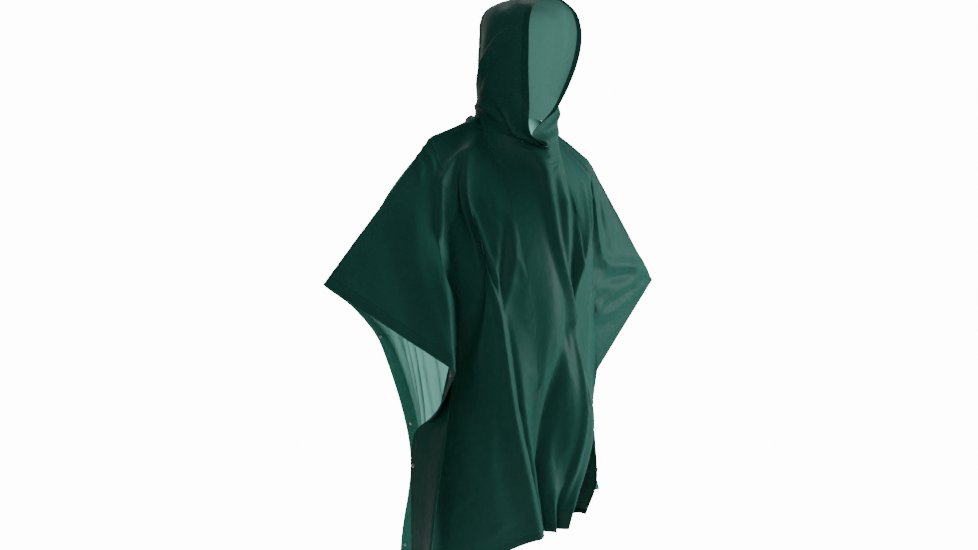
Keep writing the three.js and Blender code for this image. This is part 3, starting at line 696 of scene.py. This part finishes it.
# %% Make the hood halves
HOOD_COLUMNS = 90
HOOD_ROWS = 120
CASING = 0.020
HOOD_REACH = 0.240
HOOD_RISE = 0.360
SEAM_FADE = 0.020
RIM_FADE = 0.008
OUTWARD = {"right": 1, "left": -1}
HOOD_CREASES = {
    "right": {
        "behind the head": (12, 0.7, [
            (66, 340, 3), (52, 310, 8), (46, 270, 10), (42, 200, 11), (44, 120, 9), (40, 60, 4)]),
        "strip behind it": (12, 0, [(26, 310, -3), (22, 200, -7), (24, 110, -4)]),
        "cheek diagonal": (9, 0.6, [(206, 236, 2), (160, 190, 6), (110, 130, 7), (80, 84, 6), (60, 50, 1)]),
        "below the diagonal": (12, 0, [(190, 190, -2), (146, 130, -4), (110, 80, -3)]),
        "neck fold": (10, 0.4, [(70, 22, 3), (120, 32, 9), (170, 26, 6)]),
        "second neck fold": (8, 0.4, [(150, 60, 1), (180, 40, 6), (196, 16, 5)]),
        "chin roll": (9, 0, [(172, 10, 2), (205, 14, 7), (240, 12, 8)]),
        "beside the seam": (8, 0.3, [(60, 350, 0), (130, 352, -3), (220, 352, -2)]),
        "crown dent": (20, 0, [(120, 330, -3), (150, 300, -7), (170, 280, -2)]),
    },
    "left": {
        "behind the head": (14, 0.5, [(60, 320, 2), (66, 200, 5), (60, 80, 3)]),
        "inner strip": (12, 0.6, [(190, 330, 2), (196, 240, 5), (190, 120, 4)]),
        "crown dent": (22, 0, [(120, 330, -2), (150, 300, -5), (170, 280, -1)]),
        "chin roll": (9, 0, [(172, 10, 2), (205, 14, 6), (240, 12, 7)]),
        "chin fold": (9, 0.6, [(150, 70, 2), (180, 44, 7), (214, 30, 4)]),
    },
}


def hood_grid(side):
    around = np.repeat(np.linspace(0, 1, HOOD_COLUMNS), HOOD_ROWS)
    up = np.tile(np.linspace(1, 0, HOOD_ROWS), HOOD_COLUMNS)
    points = hood_points(side, around, up).reshape(HOOD_COLUMNS, HOOD_ROWS, 3)
    flat = np.stack([around * HOOD_REACH, up * HOOD_RISE, np.zeros_like(up)], axis=-1)
    return points, flat.reshape(HOOD_COLUMNS, HOOD_ROWS, 3)


hood_halves = {}
for side, outward in OUTWARD.items():
    points, flat = hood_grid(side)
    around, up = flat[..., 0], flat[..., 1]
    lift = crease_height(around, up, (HOOD_CREASES[side],))
    from_rims = np.minimum(up, HOOD_RISE - up) / RIM_FADE
    edge = np.minimum(1, np.minimum(around / SEAM_FADE, from_rims))
    points = points + outward * normals_of(points) * (lift * edge)[..., None]
    faces = grid_faces(HOOD_COLUMNS, HOOD_ROWS)
    hood_halves[side] = cloth_object(f"hood_half_{side}", points, faces, flat)
    print("hood half", side, len(faces), "faces")

# %% [markdown]
# ## Writing shader maths plainly
# A material is a graph of nodes. One small class wraps a socket, so that sums can be written as
# sums, and one method adds any other node.

# %% Helpers for materials
class Socket:
    """A number that varies over the surface. Sums on it add Math nodes."""

    def __init__(self, finish, output):
        self.finish, self.output = finish, output

    def maths(self, operation, *values):
        return self.finish.add("ShaderNodeMath", {"operation": operation}, dict(enumerate(values)))

    def __add__(self, other):
        return self.maths("ADD", self, other)

    def __sub__(self, other):
        return self.maths("SUBTRACT", self, other)

    def __rsub__(self, other):
        return self.maths("SUBTRACT", other, self)

    def __mul__(self, other):
        return self.maths("MULTIPLY", self, other)

    def __truediv__(self, other):
        return self.maths("DIVIDE", self, other)

    def __pow__(self, other):
        return self.maths("POWER", self, other)

    __radd__ = __add__

    def size(self):
        return self.maths("ABSOLUTE", self)

    def or_more(self, other):
        return self.maths("MAXIMUM", self, other)

    def above(self, edge, softness):
        """0 below the edge and 1 above it, with a soft step between."""
        settings = {"interpolation_type": "SMOOTHSTEP"}
        limits = {"Value": self, "From Min": edge - softness, "From Max": edge + softness}
        return self.finish.add("ShaderNodeMapRange", settings, limits)

    def line(self, place, width):
        """1 on a thin line at the place, and 0 away from it."""
        return self.maths("EXPONENT", ((self - place) / width) ** 2 * -1)


class Finish:
    """The graph of a material or of the surround, whose nodes are added one by one."""

    def __init__(self, owner):
        self.owner = owner
        owner.use_nodes = True
        self.tree = owner.node_tree
        self.tree.nodes.clear()

    def add(self, kind, settings=None, values=None, output=0):
        node = self.tree.nodes.new(kind)
        for name, value in (settings or {}).items():
            setattr(node, name, value)
        for name, value in (values or {}).items():
            if isinstance(value, Socket):
                self.tree.links.new(value.output, node.inputs[name])
            else:
                node.inputs[name].default_value = value
        return Socket(self, node.outputs[output])

    def mix(self, share, first, second):
        values = {0: share, 6: first, 7: second}
        return self.add("ShaderNodeMix", {"data_type": "RGBA"}, values, 2)

    def parts(self, vector):
        node = self.tree.nodes.new("ShaderNodeSeparateXYZ")
        self.tree.links.new(vector.output, node.inputs[0])
        return [Socket(self, node.outputs[k]) for k in range(3)]

    def surface(self, shader, kind="ShaderNodeOutputMaterial"):
        out = self.tree.nodes.new(kind)
        self.tree.links.new(shader.output, out.inputs["Surface"])


print("shader helpers ready")

# %% [markdown]
# ## Vinyl
# Thin soft vinyl is glossy but not mirror-like: a fine embossed grain spreads the highlights. It
# also lets light through, so a sheet with light behind it glows, and a hem of two layers looks
# darker. A Principled shader gives the face, and a Translucent one mixed in gives the glow. The
# glow is cut on the body's front and beside the face in the hood: painted shade of a wearer.

# %% The vinyl's nodes
VINYL_DARK = (0.013, 0.072, 0.056, 1)
VINYL_LIT = (0.018, 0.096, 0.076, 1)
HEM_DARK = (0.015, 0.082, 0.063, 1)
GLOW = (0.300, 0.780, 0.660, 1)
HEM_GLOW = (0.300, 0.700, 0.600, 1)
EDGE_SOFTNESS = 0.0006
WELD_INSIDE = 0.003
WELD_WIDTH = 0.0016
HOOD_WELD_WIDTH = 0.0014


def vinyl(name, hem_mask, weld_mask, glow_share_and_painted_shade):
    """Vinyl, given functions that draw the double layer, the weld and the share of glow from the flat
    place. The glow's share also paints shade.
    """
    finish = Finish(bpy.data.materials.new(name))
    flat = finish.add("ShaderNodeAttribute", {"attribute_name": "flat"}, {}, "Vector")
    across, down, _ = finish.parts(flat)
    cloud = finish.add("ShaderNodeTexNoise", {}, {"Vector": flat, "Scale": 7, "Detail": 3})
    rough_noise = {"Vector": flat, "Scale": 34, "Detail": 4, "Roughness": 0.55}
    crinkle = finish.add("ShaderNodeTexNoise", {}, rough_noise)
    grain = finish.add("ShaderNodeTexVoronoi", {}, {"Vector": flat, "Scale": 1500})
    double = hem_mask(across, down)
    weld = weld_mask(across, down)
    tone = finish.mix(cloud, VINYL_DARK, VINYL_LIT)
    base_colour = finish.mix(double, tone, HEM_DARK)
    glow = finish.mix(double, GLOW, HEM_GLOW)
    relief = crinkle + weld * -0.25 + grain * 0.02
    bump = finish.add("ShaderNodeBump", {}, {"Strength": 0.35, "Distance": 0.004, "Height": relief})
    roughness = 0.40 + cloud * 0.12 - weld * 0.08
    values = {"Base Color": base_colour, "Roughness": roughness, "Specular IOR Level": 0.08, "Normal": bump}
    face = finish.add("ShaderNodeBsdfPrincipled", {}, values)
    through_light = finish.add("ShaderNodeBsdfTranslucent", {}, {"Color": glow, "Normal": bump})
    both = {0: glow_share_and_painted_shade(across, down), 1: face, 2: through_light}
    finish.surface(finish.add("ShaderNodeMixShader", {}, both))
    return finish.owner


def body_hem(across, down):
    side = across.size().above(HALF_WIDTH - SIDE_HEM, EDGE_SOFTNESS)
    front = down.above(FRONT_DROP - BOTTOM_HEM, EDGE_SOFTNESS)
    back = (down * -1).above(BACK_DROP - BOTTOM_HEM, EDGE_SOFTNESS)
    return side.or_more(front.or_more(back))


def body_weld(across, down):
    side = across.size().line(HALF_WIDTH - SIDE_HEM + WELD_INSIDE, WELD_WIDTH)
    front = down.line(FRONT_DROP - BOTTOM_HEM + WELD_INSIDE, WELD_WIDTH)
    back = down.line(-BACK_DROP + BOTTOM_HEM - WELD_INSIDE, WELD_WIDTH)
    return side + front + back


def hood_casing(across, down):
    return across.above(HOOD_REACH - CASING, EDGE_SOFTNESS)


def hood_weld(across, down):
    return across.line(HOOD_REACH - CASING + WELD_INSIDE, HOOD_WELD_WIDTH)


def body_glow_with_painted_shade(across, down):
    """The back lets light through. On the front the glow is cut almost to nothing: painted shade of a
    wearer's body close behind it.
    """
    return 0.50 - down.above(-0.03, 0.03) * 0.49


def near_hood_glow_with_painted_shade(across, down):
    """Light comes through by the seam. From there to the face edge the glow is cut, as painted shade of a
    head inside the hood.
    """
    return 0.26 - across.above(0.045, 0.012) * 0.255


def far_hood_glow(across, down):
    """Its inner face is seen, with light behind it, a little less at the casing."""
    return 0.12 - across.above(0.20, 0.02) * 0.02


# The body's vinyl carries painted shade on the front, where its glow is cut.
body_vinyl_with_painted_shade = vinyl("body_vinyl_with_painted_shade", body_hem, body_weld, body_glow_with_painted_shade)
hood_vinyl = {
    # The near half's glow is cut beside the face: painted shade of the head.
    "right": vinyl("hood_vinyl_right_with_painted_shade", hood_casing, hood_weld, near_hood_glow_with_painted_shade),
    "left": vinyl("hood_vinyl_left", hood_casing, hood_weld, far_hood_glow),
}
sheet.data.materials.append(body_vinyl_with_painted_shade)
for side, half_object in hood_halves.items():
    half_object.data.materials.append(hood_vinyl[side])
print("materials:", body_vinyl_with_painted_shade.name, *(material.name for material in hood_vinyl.values()))

# %% [markdown]
# ## Hems
# Each edge is folded inwards and welded flat. The fold is the edge of the body sheet, and the
# turned-in flap is a narrow strip just inside it.

# %% Make the turned-in hems
FLAP_GAP = 0.0009
inward = -sheet_normals(creased)


def strip(name, column_range, row_range, fold):
    """A flap just inside the sheet, which meets the sheet at the fold."""
    cut = creased[column_range, row_range]
    depth = np.full(cut.shape[:2], FLAP_GAP)
    depth[fold] = 0
    points = cut + inward[column_range, row_range] * depth[..., None]
    flat = flat_grid[column_range, row_range]
    return cloth_object(name, points, grid_faces(*cut.shape[:2]), flat)


FIRST_COLUMN, LAST_COLUMN, FIRST_ROW, LAST_ROW = np.s_[0], np.s_[-1], np.s_[:, 0], np.s_[:, -1]
front_rows, back_rows = slice(TOP_ROW, None), slice(0, TOP_ROW)
near_columns, far_columns = slice(0, HEM_COLUMNS), slice(-HEM_COLUMNS, None)
between = slice(HEM_COLUMNS - 1, 1 - HEM_COLUMNS)
edges = {
    "front_right": (near_columns, front_rows, FIRST_COLUMN),
    "front_left": (far_columns, front_rows, LAST_COLUMN),
    "front_bottom": (between, slice(-HEM_ROWS, None), LAST_ROW),
    "back_right": (near_columns, back_rows, FIRST_COLUMN),
    "back_left": (far_columns, back_rows, LAST_COLUMN),
    "back_bottom": (between, slice(0, HEM_ROWS), FIRST_ROW),
}
for where, edge in edges.items():
    flap = strip(f"flap_{where}", *edge)
    flap.data.materials.append(body_vinyl_with_painted_shade)
    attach(flap, "root")
    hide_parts(f"hem_{where}")

# %% The hood's casing
CASING_COLUMNS = 8
near_face = slice(-CASING_COLUMNS, None)
depth = np.full((CASING_COLUMNS, HOOD_ROWS), FLAP_GAP)
depth[LAST_COLUMN] = 0
for side, outward in OUTWARD.items():
    points, flat = hood_grid(side)
    cut = points[near_face] - outward * normals_of(points)[near_face] * depth[..., None]
    faces = grid_faces(CASING_COLUMNS, HOOD_ROWS)
    casing = cloth_object(f"casing_{side}", cut, faces, flat[near_face])
    casing.data.materials.append(hood_vinyl[side])
    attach(casing, "root")
    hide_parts(f"hood_casing_{side}")

# %% [markdown]
# ## Snap fasteners
# Each snap is a pair of pressed metal parts that clamp the hem: a domed cap outside and a ring
# inside. Both are turned shapes, so a profile is spun round an axis.

# %% Brushed metal for the snaps
METAL_DARK = (0.36, 0.42, 0.39, 1)
METAL_LIT = (0.62, 0.67, 0.64, 1)


def snap_metal():
    finish = Finish(bpy.data.materials.new("snap_metal"))
    place = finish.add("ShaderNodeTexCoord", {}, {}, "Object")
    scratches = finish.add("ShaderNodeTexNoise", {}, {"Vector": place, "Scale": 900, "Detail": 5})
    colour = finish.mix(scratches, METAL_DARK, METAL_LIT)
    roughness = 0.22 + scratches * 0.25
    values = {"Base Color": colour, "Metallic": 1.0, "Roughness": roughness}
    finish.surface(finish.add("ShaderNodeBsdfPrincipled", {}, values))
    return finish.owner


metal = snap_metal()
print("material:", metal.name)

# %% Spin the snaps and set them on the sheet
CAP_PROFILE = [(0, 1.7), (2.0, 1.6), (3.6, 1.2), (4.6, 0.6), (4.8, 0.2), (4.8, -0.1), (0, -0.1)]
RING_PROFILE = [(0, -1.2), (1.5, -1.2), (1.7, -2.4), (2.6, -2.6), (3.5, -2.2), (3.6, -1.2), (3.6, -1.0)]
SPIN_STEPS = 28


def spun(profile):
    """Points and faces of a profile, in millimetres of radius and height, spun round the z axis."""
    angle = np.linspace(0, 2 * np.pi, SPIN_STEPS, endpoint=False)
    circle = np.stack([np.cos(angle), np.sin(angle), np.zeros(SPIN_STEPS)], axis=1)
    rings = [circle * (radius * MM) + (0, 0, height * MM) for radius, height in profile]
    here = np.arange(SPIN_STEPS)
    after = np.roll(here, -1)
    band = np.stack([here, here + SPIN_STEPS, after + SPIN_STEPS, after], axis=1)
    faces = [band + ring * SPIN_STEPS for ring in range(len(profile) - 1)]
    return np.concatenate(rings), np.concatenate(faces)


def seat_of(node, surface):
    low, high = (np.array(corner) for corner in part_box(node))
    spot, normal, _, _ = surface.find_nearest(Vector((low + high) / 2))
    return spot, normal


def metal_object(name, profiles, spot, normal):
    turn = Vector((0, 0, 1)).rotation_difference(normal).to_matrix()
    points, faces, start = [], [], 0
    for profile in profiles:
        ring_points, ring_faces = spun(profile)
        points.append(ring_points @ np.array(turn).T + np.array(spot))
        faces.append(ring_faces + start)
        start += len(ring_points)
    obj = linked(name, np.concatenate(points), np.concatenate(faces))
    obj.data.materials.append(metal)
    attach(obj, "root")
    return obj


depsgraph = bpy.context.evaluated_depsgraph_get()
sheet_surface = BVHTree.FromObject(sheet, depsgraph)
for panel in ("front", "back"):
    for side in ("right", "left"):
        for number in (1, 2, 3):
            node = f"snap_{panel}_{side}_{number}"
            spot, normal = seat_of(f"{node}_cap", sheet_surface)
            name = f"snap_pair_{panel}_{side}_{number}"
            snap = metal_object(name, (CAP_PROFILE, RING_PROFILE), spot, normal)
            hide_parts(f"{node}_cap", f"{node}_ring")
hood_surface = BVHTree.FromObject(hood_halves["right"], depsgraph)
neck_snap = metal_object("snap_at_neck", (CAP_PROFILE,), *seat_of("snap_neck_cap", hood_surface))
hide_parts("snap_neck_cap")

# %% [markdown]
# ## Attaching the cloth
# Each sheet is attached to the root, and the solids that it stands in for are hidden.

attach(sheet, "root")
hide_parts("front", "back")
for side, half_object in hood_halves.items():
    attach(half_object, "root")
    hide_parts(f"hood_{side}")

# %% [markdown]
# ## Floor and light
# A pale floor, and a bright surround behind the garment as in a studio. The surround lights the
# thin vinyl from behind, and soft lamps in front draw the folds. The key lamp only shades: a weak
# lamp beside it gives the sheen, since a strong one would turn the far sleeve grey.

# %% Floor
FLOOR_HEIGHT = -1.45
FLOOR_RADIUS = 2.0
centre = (0, 0, FLOOR_HEIGHT)
bpy.ops.mesh.primitive_circle_add(vertices=96, radius=FLOOR_RADIUS, fill_type="NGON", location=centre)
floor = bpy.context.object
floor.name = "floor"
pale = Finish(bpy.data.materials.new("pale_floor"))
matt = {"Base Color": (0.82, 0.82, 0.82, 1), "Roughness": 0.8}
pale.surface(pale.add("ShaderNodeBsdfPrincipled", {}, matt))
floor.data.materials.append(pale.owner)
print("floor at", FLOOR_HEIGHT)

# %% Surround
BACKDROP_WAY = (0.669, 0.743, 0.1)
BACKDROP_SEEN = 14.0
surround = Finish(bpy.data.worlds.new("surround"))
bpy.context.scene.world = surround.owner
way = surround.add("ShaderNodeTexCoord", {}, {}, "Generated")
values = {0: way, 1: BACKDROP_WAY}
facing = surround.add("ShaderNodeVectorMath", {"operation": "DOT_PRODUCT"}, values, "Value")
limits = {"Value": facing, "From Min": 0.5, "From Max": 0.95, "To Min": 0.02, "To Max": 0.6}
bright = surround.add("ShaderNodeMapRange", {"interpolation_type": "SMOOTHSTEP"}, limits)
seen = surround.add("ShaderNodeLightPath", {}, {}, "Is Camera Ray")
strength = surround.add("ShaderNodeMix", {}, {0: seen, 2: bright, 3: BACKDROP_SEEN})
values = {"Color": (1, 1, 1, 1), "Strength": strength}
surround.surface(surround.add("ShaderNodeBackground", {}, values), "ShaderNodeOutputWorld")
print("surround ready")

# %% Lamps
LAMP_AIM = Vector((0, 0, -0.4))


def lamp(name, place, size, power):
    data = bpy.data.lights.new(name, "AREA")
    data.shape, data.size, data.energy = "DISK", size, power
    obj = bpy.data.objects.new(name, data)
    obj.location = place
    obj.rotation_euler = (LAMP_AIM - Vector(place)).to_track_quat("-Z", "Y").to_euler()
    bpy.context.collection.objects.link(obj)
    return obj


key = lamp("key", (2.9, -1.2, 0.1), 2.4, 130)
key.visible_glossy = False
lamp("sheen", (2.7, -1.5, -0.2), 1.4, 38)
lamp("left_fill", (-2.6, -1.8, 0.9), 2.0, 30)
behind = lamp("behind", (1.3, 2.6, 0.4), 1.8, 60)
behind.visible_glossy = False
lamp("top", (0.2, 0.8, 2.2), 1.2, 18)
